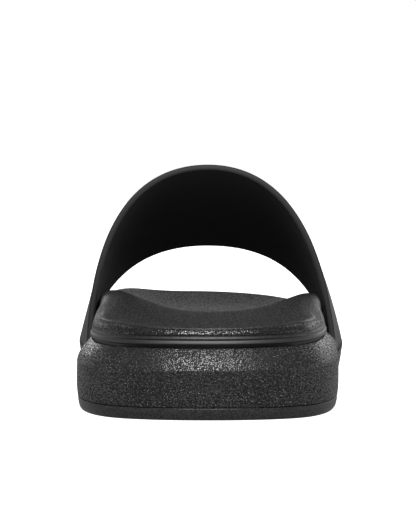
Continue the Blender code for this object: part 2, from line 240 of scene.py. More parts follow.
def read_table(rows: Sequence[NamedTuple], column: str, at: Array) -> Array:
    """Cubic Hermite curve through one column of a table, over the table's first column.

    Args:
        rows: The table, sorted by its first column.
        column: Name of the column to read.
        at: Key values to read at, held to the table's range.

    Returns:
        The column's value at each place.
    """
    keys = np.array([row[0] for row in rows])
    values = np.array([getattr(row, column) for row in rows])
    slopes = np.gradient(values, keys)
    at = np.clip(np.asarray(at, float), keys[0], keys[-1])
    span = np.clip(np.searchsorted(keys, at, side="right") - 1, 0, len(keys) - 2)
    width = keys[span + 1] - keys[span]
    ends = (values[span], values[span + 1])
    return hermite(ends, (slopes[span], slopes[span + 1]), width, (at - keys[span]) / width)


def closed_spline(points: Array, samples: int) -> Array:
    """Smooth closed curve through points: a periodic cubic spline over chord length.

    Args:
        points: The points to pass through, in order, as rows of two numbers.
        samples: How many points to return, at even steps of chord length.

    Returns:
        The curve's points, the first being the first point given.
    """
    count = len(points)
    chords = np.linalg.norm(np.roll(points, -1, axis=0) - points, axis=1)
    rises = (np.roll(points, -1, axis=0) - points) / chords[:, None]
    before = np.roll(chords, 1)
    index = np.arange(count)
    matrix = np.zeros((count, count))
    matrix[index, index - 1] += chords
    matrix[index, index] += 2 * (before + chords)
    matrix[index, (index + 1) % count] += before
    right = 3 * (chords[:, None] * np.roll(rises, 1, axis=0) + before[:, None] * rises)
    slopes = np.linalg.solve(matrix, right)
    starts = np.concatenate([[0.0], np.cumsum(chords)])
    at = np.linspace(0.0, starts[-1], samples, endpoint=False)
    span = np.clip(np.searchsorted(starts, at, side="right") - 1, 0, count - 1)
    after = (span + 1) % count
    t = ((at - starts[span]) / chords[span])[:, None]
    ends, end_slopes = (points[span], points[after]), (slopes[span], slopes[after])
    return hermite(ends, end_slopes, chords[span][:, None], t)


def even_steps(path: Array, steps: int) -> Array:
    """Points along a path at even distances, both ends included.

    Args:
        path: The path's points.
        steps: How many steps to take.

    Returns:
        steps + 1 points.
    """
    strides = np.linalg.norm(np.diff(path, axis=0), axis=1)
    lengths = np.concatenate([[0.0], np.cumsum(strides)])
    at = np.linspace(0.0, lengths[-1], steps + 1)
    return np.column_stack([np.interp(at, lengths, path[:, axis]) for axis in range(2)])


@dataclass(frozen=True)
class Sheet:
    """A grid of points, with masks that hold one number for each point."""

    points: Array
    masks: dict[str, Array] = field(default_factory=dict)
    closed: bool = False

    def quads(self) -> Array:
        """Number the corners of the grid's faces.

        Returns:
            Rows of four corner numbers.
        """
        rows, columns = self.points.shape[:2]
        grid = np.arange(rows * columns).reshape(rows, columns)
        if self.closed:
            grid = np.hstack([grid, grid[:, :1]])
        corners = (grid[:-1, :-1], grid[:-1, 1:], grid[1:, 1:], grid[1:, :-1])
        return np.stack(corners, axis=-1).reshape(-1, 4)

    def mask(self, name: str) -> Array:
        """One mask's numbers in a row, or zeros where the sheet hasn't that mask."""
        return self.masks.get(name, np.zeros(self.points.shape[:2])).reshape(-1)


def paired_strip(ring: Array) -> Array:
    """Rows across a ring: each point of its first half with the opposite one of the second half.

    Args:
        ring: An even number of points round a closed line.

    Returns:
        Grid of rows of two points; the first and last rows hold one point twice.
    """
    half = len(ring) // 2
    opposite = np.concatenate([ring[:1], ring[: half - 1 : -1]])
    return np.stack([ring[: half + 1], opposite], axis=1)


def capped(rings: Array, masks: dict[str, Array] | None = None) -> list[Sheet]:
    """A tube of closed rings, with a strip of opposite points over each of its ends.

    Args:
        rings: The rings, as rings x points x 3.
        masks: The tube's masks.

    Returns:
        The tube and its two ends.
    """
    ends = [Sheet(paired_strip(ring)) for ring in (rings[0], rings[-1])]
    return [Sheet(rings, masks or {}, closed=True), *ends]


def weld(name: str, sheets: Sequence[Sheet]) -> bpy.types.Object:
    """Join sheets into one closed mesh: points in one place become one, and faces point outwards.

    Args:
        name: Name of the object and its mesh.
        sheets: The sheets, which meet edge to edge.

    Returns:
        The new object, linked to the scene, shaded smooth, with the masks as point attributes.
    """
    starts = np.cumsum([0] + [sheet.points[..., 0].size for sheet in sheets])
    points = np.concatenate([sheet.points.reshape(-1, 3) for sheet in sheets])
    quads = np.concatenate([sheet.quads() + start for sheet, start in zip(sheets, starts)])
    places = np.round(points, WELD_DIGITS)
    _, first, number = np.unique(places, axis=0, return_index=True, return_inverse=True)
    quads = number.reshape(-1)[quads]
    twin = quads == np.roll(quads, -1, axis=1)
    whole = quads[~twin.any(axis=1)]
    thin = twin.sum(axis=1) == 1
    order = (twin[thin].argmax(axis=1)[:, None] + np.array([1, 2, 3])) % 4
    triangles = np.take_along_axis(quads[thin], order, axis=1)
    data = bpy.data.meshes.new(name)
    data.from_pydata(points[first].tolist(), [], whole.tolist() + triangles.tolist())
    for mask in sorted({key for sheet in sheets for key in sheet.masks}):
        values = np.concatenate([sheet.mask(mask) for sheet in sheets])
        layer = data.attributes.new(mask, "FLOAT", "POINT")
        layer.data.foreach_set("value", values[first].astype(np.float32))
    point_outwards(data)
    piece = bpy.data.objects.new(name, data)
    bpy.context.scene.collection.objects.link(piece)
    return piece


def point_outwards(data: bpy.types.Mesh) -> None:
    """Turn all faces of a closed mesh outwards and shade them smooth.

    Args:
        data: The mesh to change.
    """
    mesh = bmesh.new()
    mesh.from_mesh(data)
    bmesh.ops.recalc_face_normals(mesh, faces=mesh.faces)
    mesh.to_mesh(data)
    mesh.free()
    data.shade_smooth()


def carve(piece: bpy.types.Object, cutter: bpy.types.Object) -> None:
    """Take a cutter's shape out of a piece for good, then delete the cutter.

    Args:
        piece: The piece to cut.
        cutter: A closed shape.
    """
    modifier = piece.modifiers.new("carve", "BOOLEAN")
    modifier.operation = "DIFFERENCE"
    modifier.solver = "MANIFOLD"
    modifier.object = cutter
    graph = bpy.context.evaluated_depsgraph_get()
    carved = bpy.data.meshes.new_from_object(piece.evaluated_get(graph))
    piece.modifiers.clear()
    carved.materials.clear()
    plain = piece.data
    piece.data = carved
    carved.name = piece.name
    bpy.data.meshes.remove(plain)
    shape = cutter.data
    bpy.data.objects.remove(cutter)
    bpy.data.meshes.remove(shape)
    carved.shade_smooth()
    carved.set_sharp_from_angle(angle=CREASE)


class Value:
    """A number socket of a node tree; arithmetic on it adds Math nodes."""

    def __init__(self, sketch: Sketch, socket: bpy.types.NodeSocket) -> None:
        """Keep the sketch and the socket."""
        self.sketch = sketch
        self.socket = socket

    def _math(self, operation: str, *operands: Given) -> Value:
        """Add a Math node for an operation on the operands."""
        inputs = dict(enumerate(operands))
        return self.sketch.value("ShaderNodeMath", "Value", {"operation": operation}, inputs)

    def __add__(self, other: Given) -> Value:
        """This value plus another."""
        return self._math("ADD", self, other)

    def __radd__(self, other: Given) -> Value:
        """A number plus this value."""
        return self._math("ADD", other, self)

    def __sub__(self, other: Given) -> Value:
        """This value less another."""
        return self._math("SUBTRACT", self, other)

    def __rsub__(self, other: Given) -> Value:
        """A number less this value."""
        return self._math("SUBTRACT", other, self)

    def __mul__(self, other: Given) -> Value:
        """This value times another."""
        return self._math("MULTIPLY", self, other)

    def __rmul__(self, other: Given) -> Value:
        """A number times this value."""
        return self._math("MULTIPLY", other, self)

    def __pow__(self, other: Given) -> Value:
        """This value to a power."""
        return self._math("POWER", self, other)

    def ramp(self, low: float, high: float) -> Value:
        """Smooth rise from 0 at low to 1 at high."""
        inputs = {"Value": self, "From Min": low, "From Max": high}
        return self.sketch.value(
            "ShaderNodeMapRange", "Result", {"interpolation_type": "SMOOTHSTEP"}, inputs
        )


class Sketch:
    """The node tree of a material or a world, drawn node by node."""

    def __init__(self, owner: bpy.types.Material | bpy.types.World) -> None:
        """Start with an empty tree."""
        owner.use_nodes = True
        self.owner = owner
        self.tree = owner.node_tree
        self.tree.nodes.clear()

    def node(self, kind: str, settings: Settings, inputs: Inputs) -> bpy.types.Node:
        """Add a node.

        Args:
            kind: The node's type.
            settings: Its properties, set before its sockets.
            inputs: Values or links for its sockets, by identifier, name or number.

        Returns:
            The node.
        """
        node = self.tree.nodes.new(kind)
        for key, setting in settings.items():
            setattr(node, key, setting)
        by_identifier = {socket.identifier: socket for socket in node.inputs}
        for key, given in inputs.items():
            socket = by_identifier[key] if key in by_identifier else node.inputs[key]
            given = given.socket if isinstance(given, Value) else given
            if isinstance(given, bpy.types.NodeSocket):
                self.tree.links.new(given, socket)
            else:
                socket.default_value = given
        return node

    def value(self, kind: str, output: str, settings: Settings, inputs: Inputs) -> Value:
        """Add a node and wrap one of its number outputs."""
        return Value(self, self.node(kind, settings, inputs).outputs[output])

    def place(self) -> bpy.types.NodeSocket:
        """Object coordinates, which are the frame's own metres."""
        return self.node("ShaderNodeTexCoord", {}, {}).outputs["Object"]

    def mask(self, name: str) -> Value:
        """One of the piece's point attributes."""
        return self.value("ShaderNodeAttribute", "Fac", {"attribute_name": name}, {})

    def noise(self, where: bpy.types.NodeSocket, size: float, detail: float = 2.0) -> Value:
        """Smooth random field with lumps of about the size given, from 0 to 1."""
        inputs = {"Vector": where, "Scale": 1.0 / size, "Detail": detail, "Roughness": 0.5}
        return self.value("ShaderNodeTexNoise", "Fac", {}, inputs)

    def clouds(self, where: bpy.types.NodeSocket, size: float) -> Value:
        """Faint large patches of about the size given, from 0 to 1."""
        return self.noise(where, size, CLOUD_DETAIL)

    def pebbles(self, where: bpy.types.NodeSocket, size: float) -> Value:
        """Domes of about the size given: 1 less the square of the distance from the nearest top."""
        inputs = {"Vector": where, "Scale": 1.0 / size}
        return 1.0 - self.value("ShaderNodeTexVoronoi", "Distance", {}, inputs) ** 2.0

    def tint(self, amount: Value, low: Colour, high: Colour) -> bpy.types.NodeSocket:
        """Mix two colours.

        Args:
            amount: Share of the second colour, from 0 to 1.
            low: The first colour.
            high: The second colour.

        Returns:
            The mixed colour.
        """
        inputs = {"Factor_Float": amount, "A_Color": (*low, 1.0), "B_Color": (*high, 1.0)}
        node = self.node("ShaderNodeMix", {"data_type": "RGBA"}, inputs)
        return next(socket for socket in node.outputs if socket.identifier == "Result_Color")

    def finish(
        self,
        inputs: dict[str, Given],
        height: Value,
        depth: float,
        cover: Value | None = None,
        hollow: Colour = (0.0, 0.0, 0.0),
    ) -> bpy.types.Material:
        """Add the bump and the surface shader, and a dull one for the hollows of the grain.

        Args:
            inputs: Values or links for the surface shader.
            height: Relief, as shares of its depth.
            depth: Depth of the relief in metres.
            cover: Share of the surface shader, the rest being dull; all of it where not given.
            hollow: Colour of the dull rest.

        Returns:
            The finished material.
        """
        relief = {"Strength": 1.0, "Distance": depth, "Height": height}
        normal = self.node("ShaderNodeBump", {}, relief).outputs["Normal"]
        skin = self.node("ShaderNodeBsdfPrincipled", {}, {**inputs, "Normal": normal})
        surface = skin.outputs["BSDF"]
        if cover is not None:
            dull = {"Base Color": (*hollow, 1.0), "Roughness": 0.7, "Specular IOR Level": 0.2}
            floor = self.node("ShaderNodeBsdfPrincipled", {}, {**dull, "Normal": normal})
            shaders = {0: cover, 1: floor.outputs["BSDF"], 2: surface}
            surface = self.node("ShaderNodeMixShader", {}, shaders).outputs["Shader"]
        self.node("ShaderNodeOutputMaterial", {}, {"Surface": surface})
        return self.owner


@dataclass(frozen=True)
class PebbledFoam:
    """Skin of the midsole: black foam, moulded with an all-over pebble grain.

    The tints are the shares of pebbles, granules and clouds in how pale it is; the granules' share
    is painted glints.
    """

    dark: Colour = (0.009, 0.009, 0.0092)
    light: Colour = (0.060, 0.060, 0.0605)
    tints: tuple[float, float, float] = (0.3, 0.5, 0.2)
    pebble: float = 0.00050
    pebble_top: Span = (0.70, 0.90)
    granule: float = 0.00090
    granule_top: Span = (0.84, 1.0)
    granule_height: float = 1.7
    cloud: float = 0.022
    relief: float = 0.00011
    roughness: float = 0.18
    cloud_roughness: float = 0.06
    hollow_cover: float = 0.1
    specular: float = 0.7

    def material(self) -> bpy.types.Material:
        """Domed pebbles and scattered granules, with a gloss that the hollows between them lack;
        the granules are also painted pale as painted glints.

        Returns:
            The material.
        """
        sketch = Sketch(bpy.data.materials.new("pebbled_foam"))
        where = sketch.place()
        cloud = sketch.clouds(where, self.cloud)
        pebbles = sketch.pebbles(where, self.pebble)
        granules_with_painted_glints = sketch.pebbles(where, self.granule).ramp(*self.granule_top)
        tops = pebbles.ramp(*self.pebble_top)
        # Painted glints: the granules are painted pale, on top of their real bump and gloss.
        paleness = tops * self.tints[0] + granules_with_painted_glints * self.tints[1] + cloud * self.tints[2]
        inputs = {
            "Base Color": sketch.tint(paleness, self.dark, self.light),
            "Roughness": self.roughness + (cloud - 0.5) * self.cloud_roughness,
            "Specular IOR Level": self.specular,
        }
        height = pebbles + granules_with_painted_glints * self.granule_height
        cover = self.hollow_cover + tops * (1.0 - self.hollow_cover) + granules_with_painted_glints
        return sketch.finish(inputs, height, self.relief, cover, self.dark)


@dataclass(frozen=True)
class FootbedFoam:
    """Skin of the footbed: fine grain on top, pebbles on the rim, a smooth bead below.

    Depths are shares of the relief; the grain of the top is stretched lengthwise.
    """

    dark: Colour = (0.005, 0.005, 0.0052)
    light: Colour = (0.020, 0.020, 0.0204)
    tints: Span = (0.7, 0.3)
    grain: float = 0.00055
    grain_detail: float = 1.5
    grain_top: Span = (0.40, 0.60)
    stretch: float = 0.4
    cloud: float = 0.018
    relief: float = 0.00014
    bead_depth: float = 0.1
    rim_depth: float = 1.15
    top_depth: float = 2.0
    roughness: float = 0.13
    top_roughness: float = 0.41
    bead_roughness: float = 0.33
    cloud_roughness: float = 0.1
    top_hollows: float = 0.9
    specular: float = 0.65

    def material(self) -> bpy.types.Material:
        """Grain whose depth and gloss follow the masks: dull on top, glinting rim, smooth bead.

        Returns:
            The material.
        """
        sketch = Sketch(bpy.data.materials.new("footbed_foam"))
        where = sketch.place()
        stipple = sketch.mask("stipple")
        top = sketch.mask("top")
        scale = {0: where, 1: (1.0, self.stretch, 1.0)}
        lengthwise = sketch.node("ShaderNodeVectorMath", {"operation": "MULTIPLY"}, scale)
        drawn = sketch.noise(lengthwise.outputs["Vector"], self.grain, self.grain_detail)
        even = sketch.noise(where, self.grain, self.grain_detail)
        grain = even * (1.0 - top) + drawn * top
        cloud = sketch.clouds(where, self.cloud)
        tops = grain.ramp(*self.grain_top)
        paleness = tops * self.tints[0] + cloud * self.tints[1]
        bead = (1.0 - stipple) * (1.0 - top)
        rough = self.roughness + top * self.top_roughness + bead * self.bead_roughness
        inputs = {
            "Base Color": sketch.tint(paleness, self.dark, self.light),
            "Roughness": rough + (cloud - 0.5) * self.cloud_roughness,
            "Specular IOR Level": self.specular,
        }
        height = grain * (self.bead_depth + stipple * self.rim_depth + top * self.top_depth)
        cover = 1.0 - (1.0 - tops) * (stipple + top * self.top_hollows)
        return sketch.finish(inputs, height, self.relief, cover, self.dark)


@dataclass(frozen=True)
class MouldedBand:
    """Skin of the strap: smooth matt black moulding, a little paler and duller high inside: the
    paleness partly its own tone and partly painted light, fading to painted shade low down near the
    sole.

    The tints are the shares of clouds, grain and inner face in how pale it is.
    """

    dark: Colour = (0.008, 0.008, 0.008)
    light: Colour = (0.055, 0.055, 0.055)
    tints: tuple[float, float, float] = (0.3, 0.2, 0.6)
    grain: float = 0.0004
    grain_detail: float = 1.0
    cloud: float = 0.02
    relief: float = 0.00002
    roughness: float = 0.5
    inside_roughness: float = 0.15
    cloud_roughness: float = 0.1
    specular: float = 0.18

    def material(self) -> bpy.types.Material:
        """A very fine grain over faint clouds; the inner face is paler and rougher towards its top,
        its paleness partly painted light, and its fall-off near the sole painted shade.

        Returns:
            The material.
        """
        sketch = Sketch(bpy.data.materials.new("moulded_band"))
        where = sketch.place()
        inside = sketch.mask("inside")
        grain = sketch.noise(where, self.grain, self.grain_detail)
        cloud = sketch.clouds(where, self.cloud)
        # Inner face: paler partly as its own tone and partly as painted light; darker near the sole
        # as painted shade.
        paleness = cloud * self.tints[0] + grain * self.tints[1] + inside * self.tints[2]
        rough = self.roughness + inside * self.inside_roughness
        inputs = {
            "Base Color": sketch.tint(paleness, self.dark, self.light),
            "Roughness": rough + (cloud - 0.5) * self.cloud_roughness,
            "Specular IOR Level": self.specular,
        }
        return sketch.finish(inputs, grain, self.relief)


@dataclass(frozen=True)
class TreadRubber:
    """Skin of the outsole: dull black rubber with a fine spark-eroded grain.

    The tints are the shares of clouds and grain in how pale it is.
    """

    dark: Colour = (0.010, 0.010, 0.0103)
    light: Colour = (0.050, 0.050, 0.0505)
    tints: Span = (0.3, 0.7)
    grain: float = 0.00036
    grain_top: Span = (0.38, 0.62)
    cloud: float = 0.025
    relief: float = 0.00002
    roughness: float = 0.30
    cloud_roughness: float = 0.12
    hollow_cover: float = 0.4
    specular: float = 0.6

    def material(self) -> bpy.types.Material:
        """A fine even grain over faint clouds, duller in its hollows.

        Returns:
            The material.
        """
        sketch = Sketch(bpy.data.materials.new("tread_rubber"))
        where = sketch.place()
        grain = sketch.noise(where, self.grain)
        cloud = sketch.clouds(where, self.cloud)
        tops = grain.ramp(*self.grain_top)
        paleness = cloud * self.tints[0] + tops * self.tints[1]
        inputs = {
            "Base Color": sketch.tint(paleness, self.dark, self.light),
            "Roughness": self.roughness + (cloud - 0.5) * self.cloud_roughness,
            "Specular IOR Level": self.specular,
        }
        cover = self.hollow_cover + tops * (1.0 - self.hollow_cover)
        return sketch.finish(inputs, grain, self.relief, cover, self.dark)


class SubAssembly:
    """One piece of the shoe, dressed in one finish."""

    finish: Union[PebbledFoam, FootbedFoam, MouldedBand, TreadRubber]

    def dress(self, piece: bpy.types.Object) -> None:
        """Give the piece its finish."""
        piece.data.materials.append(self.finish.material())


@dataclass
class SolePlan:
    """The sole's widest line from above, and the sizes that all its pieces share."""

    length: float = 0.288
    ball_width: float = 0.10455
    edge: float = 0.0040
    lap: float = 0.0020
    seat_gap: float = 0.0003
    seat_share: float = 0.45
    neck_depth: Span = (0.0034, 0.0008)
    ledge_setback: Span = (0.0007, 0.0005)
    neck_reach: Span = (0.003, 0.009)
    seam_gap: float = 0.00012
    toe_spring: float = 0.006
    toe_spring_start: float = 0.205
    side_steps: int = 320
    samples: int = 4800
    outline: tuple[OutlinePoint, ...] = (
        OutlinePoint(0.000, 0.0000),
        OutlinePoint(0.010, -0.0325),
        OutlinePoint(0.034, -0.0429),
        OutlinePoint(0.080, -0.0433),
        OutlinePoint(0.125, -0.0460),
        OutlinePoint(0.198, -0.0516),
        OutlinePoint(0.245, -0.0476),
        OutlinePoint(0.275, -0.0345),
        OutlinePoint(0.288, -0.0110),
        OutlinePoint(0.281, 0.0165),
        OutlinePoint(0.258, 0.0382),
        OutlinePoint(0.225, 0.0495),
        OutlinePoint(0.182, 0.0530),
        OutlinePoint(0.125, 0.0487),
        OutlinePoint(0.080, 0.0450),
        OutlinePoint(0.034, 0.0423),
        OutlinePoint(0.010, 0.0325),
    )
    sections: tuple[Section, ...] = (
        Section(0.000, 0.0227, 0.0227, 0.0033, 0.0033, 0.0290, 0.0290, 0.0051, 0.0051),
        Section(0.005, 0.0227, 0.0230, 0.0034, 0.0034, 0.0298, 0.0299, 0.0053, 0.0053),
        Section(0.012, 0.0227, 0.0232, 0.0039, 0.0036, 0.0304, 0.0305, 0.0057, 0.0057),
        Section(0.030, 0.0227, 0.0235, 0.0045, 0.0037, 0.0307, 0.0308, 0.0078, 0.0078),
        Section(0.048, 0.0228, 0.0239, 0.0045, 0.0040, 0.0316, 0.0313, 0.0105, 0.0112),
        Section(0.075, 0.0224, 0.0233, 0.0043, 0.0044, 0.0338, 0.0325, 0.0113, 0.0117),
        Section(0.100, 0.0217, 0.0223, 0.0042, 0.0048, 0.0350, 0.0338, 0.0115, 0.0114),
        Section(0.120, 0.0210, 0.0213, 0.0046, 0.0055, 0.0347, 0.0336, 0.0115, 0.0114),
        Section(0.160, 0.0188, 0.0189, 0.0054, 0.0068, 0.0297, 0.0282, 0.0100, 0.0108),
        Section(0.200, 0.0172, 0.0172, 0.0072, 0.0074, 0.0247, 0.0234, 0.0113, 0.0100),
        Section(0.245, 0.0178, 0.0178, 0.0056, 0.0060, 0.0277, 0.0237, 0.0084, 0.0084),
        Section(0.272, 0.0185, 0.0185, 0.0050, 0.0052, 0.0273, 0.0247, 0.0074, 0.0074),
        Section(0.288, 0.0190, 0.0190, 0.0046, 0.0046, 0.0253, 0.0253, 0.0064, 0.0064),
    )

    def __post_init__(self) -> None:
        """Work out the loop: heel's back, medial side, toe, lateral side, in even steps."""
        curve = closed_spline(np.array([(p.across, p.along) for p in self.outline]), self.samples)
        low, high = curve.min(axis=0), curve.max(axis=0)
        self.heel_shift = -(low[0] + high[0]) / 2
        middle = np.array([(low[0] + high[0]) / 2, low[1]])
        curve = (curve - middle) * np.array([self.ball_width, self.length]) / (high - low)
        heel, toe = curve[:, 1].argmin(), curve[:, 1].argmax()
        curve = np.roll(curve, -heel, axis=0)
        toe = (toe - heel) % self.samples
        lateral = np.vstack([curve[toe:], curve[:1]])
        self.paths = {Side.MEDIAL: curve[: toe + 1], Side.LATERAL: lateral}
        halves = [even_steps(path, self.side_steps)[:-1] for path in self.paths.values()]
        self.loop = np.vstack(halves)
        tangent = np.roll(self.loop, -1, axis=0) - np.roll(self.loop, 1, axis=0)
        tangent /= np.linalg.norm(tangent, axis=1)[:, None]
        self.inward = np.column_stack([tangent[:, 1], -tangent[:, 0]])
        self.along = self.loop[:, 1]

    def section(self, column: str) -> Array:
        """One column of the sections, at each point of the loop."""
        return read_table(self.sections, column, self.along)

    def sided(self, name: str) -> Array:
        """A size that differs from side to side, at each point of the loop."""
        medial = np.arange(len(self.along)) <= self.side_steps
        return np.where(medial, self.section(f"{name}_medial"), self.section(f"{name}_lateral"))

    def neck(self) -> Array:
        """How far the neck lies behind the bead: deep behind the heel, shallow along the sides."""
        return blend(*self.neck_depth, smooth_step(*self.neck_reach, self.along))

    def setback(self) -> Array:
        """How far the ledge's edge lies behind the bead, like the neck's depth."""
        return blend(*self.ledge_setback, smooth_step(*self.neck_reach, self.along))

    def lift(self, along: Array) -> Array:
        """Rise of the underside towards the toe: level to the ball, then a parabola.

        Args:
            along: Distances from the heel's back.

        Returns:
            Heights of the underside.
        """
        reach = self.length - self.toe_spring_start
        share = np.clip((np.asarray(along) - self.toe_spring_start) / reach, 0, 1)
        return self.toe_spring * share**2

    def seat_floor(self) -> Array:
        """Height of the floor of the seat that holds the footbed, at each point of the loop."""
        seam = self.lift(self.along) + self.edge
        return seam + self.seat_share * (self.sided("ledge") - seam)

    def half_width(self, side: Side, along: Array) -> Array:
        """Place across of the widest line on one side, at distances along."""
        path = self.paths[side] if side is Side.MEDIAL else self.paths[side][::-1]
        return np.interp(along, path[:, 1], path[:, 0])

    def rings(self, profile: Array) -> Array:
        """Carry a section round the sole: the loop moved inwards by the insets, at the heights.

        Args:
            profile: Insets and heights, as rings x 2 x points of the loop.

        Returns:
            Points of the frame, as rings x points x 3.
        """
        plan = self.loop + self.inward * profile[:, 0, :, None]
        return np.dstack([plan[..., 0], plan[..., 1] - self.length / 2, profile[:, 1]])


@dataclass(frozen=True)
class Corner:
    """A corner of a side's section: inset and height round the loop, rounding and stipple."""

    inset: Array
    height: Array
    rounding: float = 0.0
    stipple: float = 0.0


def rounded_profile(corners: Sequence[Corner], steps: int = 5) -> tuple[Array, Array]:
    """A section with rounded corners: each is a quadratic curve between points set back from it.

    Args:
        corners: The corners in order.
        steps: Points on each rounded corner.

    Returns:
        Insets and heights as rings x 2 x points of the loop, and the stipple of each ring.
    """
    spots = np.array([[corner.inset, corner.height] for corner in corners])
    t = np.linspace(0.0, 1.0, steps)[:, None, None]
    rings: list[Array] = []
    stipple: list[float] = []
    for number, corner in enumerate(corners):
        here = spots[number]
        if corner.rounding == 0.0:
            rings.append(here[None])
            stipple.append(corner.stipple)
            continue
        ends = []
        for other in (spots[number - 1], spots[number + 1]):
            reach = np.linalg.norm(other - here, axis=0)
            ends.append(blend(here, other, np.minimum(corner.rounding / reach, CORNER_LIMIT)))
        rings.append((1 - t) ** 2 * ends[0] + 2 * t * (1 - t) * here + t**2 * ends[1])
        stipple += [corner.stipple] * steps
    return np.concatenate(rings), np.array(stipple)


@dataclass
class Outsole(SubAssembly):
    """Thin rubber plate with a rounded lower edge and cross channels in its floor face."""

    plan: SolePlan
    seam_inset: Array
    corner_fullness: float = 0.40
    corner_reach: float = 0.007
    side_rings: int = 16
    side_top: float = 0.94
    side_crowding: float = 1.6
    top_rounding: float = 0.0012
    channel_pitch: float = 0.0165
    channel_width: float = 0.0032
    channel_depth: float = 0.0014
    channel_border: float = 0.013
    channel_corners: int = 24
    channel_runs: tuple[Span, ...] = ((0.020, 0.086), (0.134, 0.246))
    channel_roof: tuple[RoofRow, ...] = (
        RoofRow(-1.00, 1.00),
        RoofRow(0.35, 1.00),
        RoofRow(0.75, 0.86),
        RoofRow(1.00, 0.55),
    )
    finish: TreadRubber = TreadRubber()
    side: tuple[EdgeRow, ...] = (
        EdgeRow(0.00, 0.0017),
        EdgeRow(0.10, 0.0012),
        EdgeRow(0.33, 0.0007),
        EdgeRow(0.64, 0.0003),
        EdgeRow(1.00, 0.0001),
    )

    def build(self) -> bpy.types.Object:
        """Carry the rounded side round the sole, close it below and above, and cut the tread.

        Returns:
            The plate.
        """
        plan = self.plan
        lift = plan.lift(plan.along)
        top = plan.edge - plan.seam_gap / 2
        full = 1.0 - self.corner_fullness * (1.0 - np.exp(-((plan.along / self.corner_reach) ** 2)))
        corners = []
        for rise in np.linspace(0.0, self.side_top, self.side_rings) ** self.side_crowding:
            setback = read_table(self.side, "setback", rise)
            corners.append(Corner(self.seam_inset + setback * full, lift + rise * top))
        edge = self.seam_inset + self.side[-1].setback * full
        corners.append(Corner(edge, lift + top, self.top_rounding))
        corners.append(Corner(self.seam_inset + plan.lap, lift + top))
        plate = weld("outsole_plate", capped(plan.rings(rounded_profile(corners)[0])))
        carve(plate, self.channels())
        return plate

    def channels(self) -> bpy.types.Object:
        """Cutter for the tread: bars with half-round ends whose roofs are rounded over.

        Returns:
            One object that holds every bar.
        """
        plan, border = self.plan, self.channel_border + self.channel_width / 2
        turn = np.linspace(0.0, 2.0 * math.pi, self.channel_corners, endpoint=False)
        turn += math.pi / self.channel_corners
        rise, spread = np.array(self.channel_roof).T[..., None]
        rise, spread = rise * self.channel_depth, spread * self.channel_width / 2
        sheets = []
        for first, last in self.channel_runs:
            for along in np.arange(first, last, self.channel_pitch):
                low = plan.half_width(Side.MEDIAL, along) + border
                high = plan.half_width(Side.LATERAL, along) - border
                across = np.where(np.cos(turn) > 0, high, low) + spread * np.cos(turn)
                behind = along - plan.length / 2 + spread * np.sin(turn)
                height = np.broadcast_to(rise + plan.lift(along), across.shape)
                sheets += capped(np.dstack([across, behind, height]))
        return weld("channels", sheets)


@dataclass
class Midsole(SubAssembly):
    """Thick foam body: wall, shoulder, ledge, footbed seat and recess for the strap's feet."""

    plan: SolePlan
    back_reach: Span = (0.004, 0.020)
    heel_reach: Span = (0.070, 0.170)
    wall_start: float = 0.04
    wall_rings: int = 15
    shoulder_rounding: float = 0.0007
    ledge_rounding: float = 0.00035
    seam_rounding: float = 0.0004
    finish: PebbledFoam = PebbledFoam()
    wall: tuple[WallRow, ...] = (
        WallRow(0.000, 0.070, 0.060, 0.18),
        WallRow(0.100, 0.050, 0.018, 0.13),
        WallRow(0.330, 0.030, 0.000, 0.05),
        WallRow(0.540, 0.004, 0.010, 0.00),
        WallRow(0.625, 0.000, 0.018, 0.02),
    )
    shoulder: tuple[WallRow, ...] = (
        WallRow(0.625, 0.000, 0.018, 0.02),
        WallRow(0.700, 0.150, 0.100, 0.07),
        WallRow(0.780, 0.330, 0.250, 0.24),
        WallRow(0.890, 0.640, 0.600, 0.60),
        WallRow(1.000, 1.000, 1.000, 1.00),
    )

    def inset(self, rows: Sequence[WallRow], rise: float) -> Array:
        """Inset of the wall at one rise: the back's tuck blends into the heel's, then the ball's.

        Args:
            rows: The part of the wall to read.
            rise: Share of the way from the seam to the ledge.

        Returns:
            Insets from the widest line, round the loop.
        """
        names = ("back_tuck", "heel_tuck", "ball_tuck")
        back, heel, ball = (max(float(read_table(rows, name, rise)), 0.0) for name in names)
        tuck = blend(back, heel, smooth_step(*self.back_reach, self.plan.along))
        tuck += (ball - heel) * smooth_step(*self.heel_reach, self.plan.along)
        return tuck * (self.plan.sided("bead") + self.plan.setback())

    def build(self, recess: bpy.types.Object) -> bpy.types.Object:
        """Carry wall, shoulder, ledge and seat round the sole, then cut the recess.

        Args:
            recess: Cutter for the strap's feet.

        Returns:
            The body.
        """
        plan = self.plan
        ledge = plan.sided("ledge")
        seam = plan.lift(plan.along) + plan.edge + plan.seam_gap / 2
        seat = plan.sided("bead") + plan.neck()
        foot = self.inset(self.wall, 0.0)
        bend = self.wall[-1].rise
        roundings = {bend: self.shoulder_rounding, 1.0: self.ledge_rounding}
        rises = [(self.wall, rise) for rise in np.linspace(self.wall_start, bend, self.wall_rings)]
        rises += [(self.shoulder, rise) for rise in np.linspace(bend, 1.0, self.wall_rings)[1:]]
        corners = [Corner(foot + plan.lap, seam), Corner(foot, seam, self.seam_rounding)]
        for rows, rise in rises:
            height = seam + rise * (ledge - seam)
            corners.append(Corner(self.inset(rows, rise), height, roundings.get(rise, 0.0)))
        corners.append(Corner(seat, ledge, self.ledge_rounding))
        corners.append(Corner(seat, plan.seat_floor()))
        body = weld("midsole_body", capped(plan.rings(rounded_profile(corners)[0])))
        carve(body, recess)
        return body


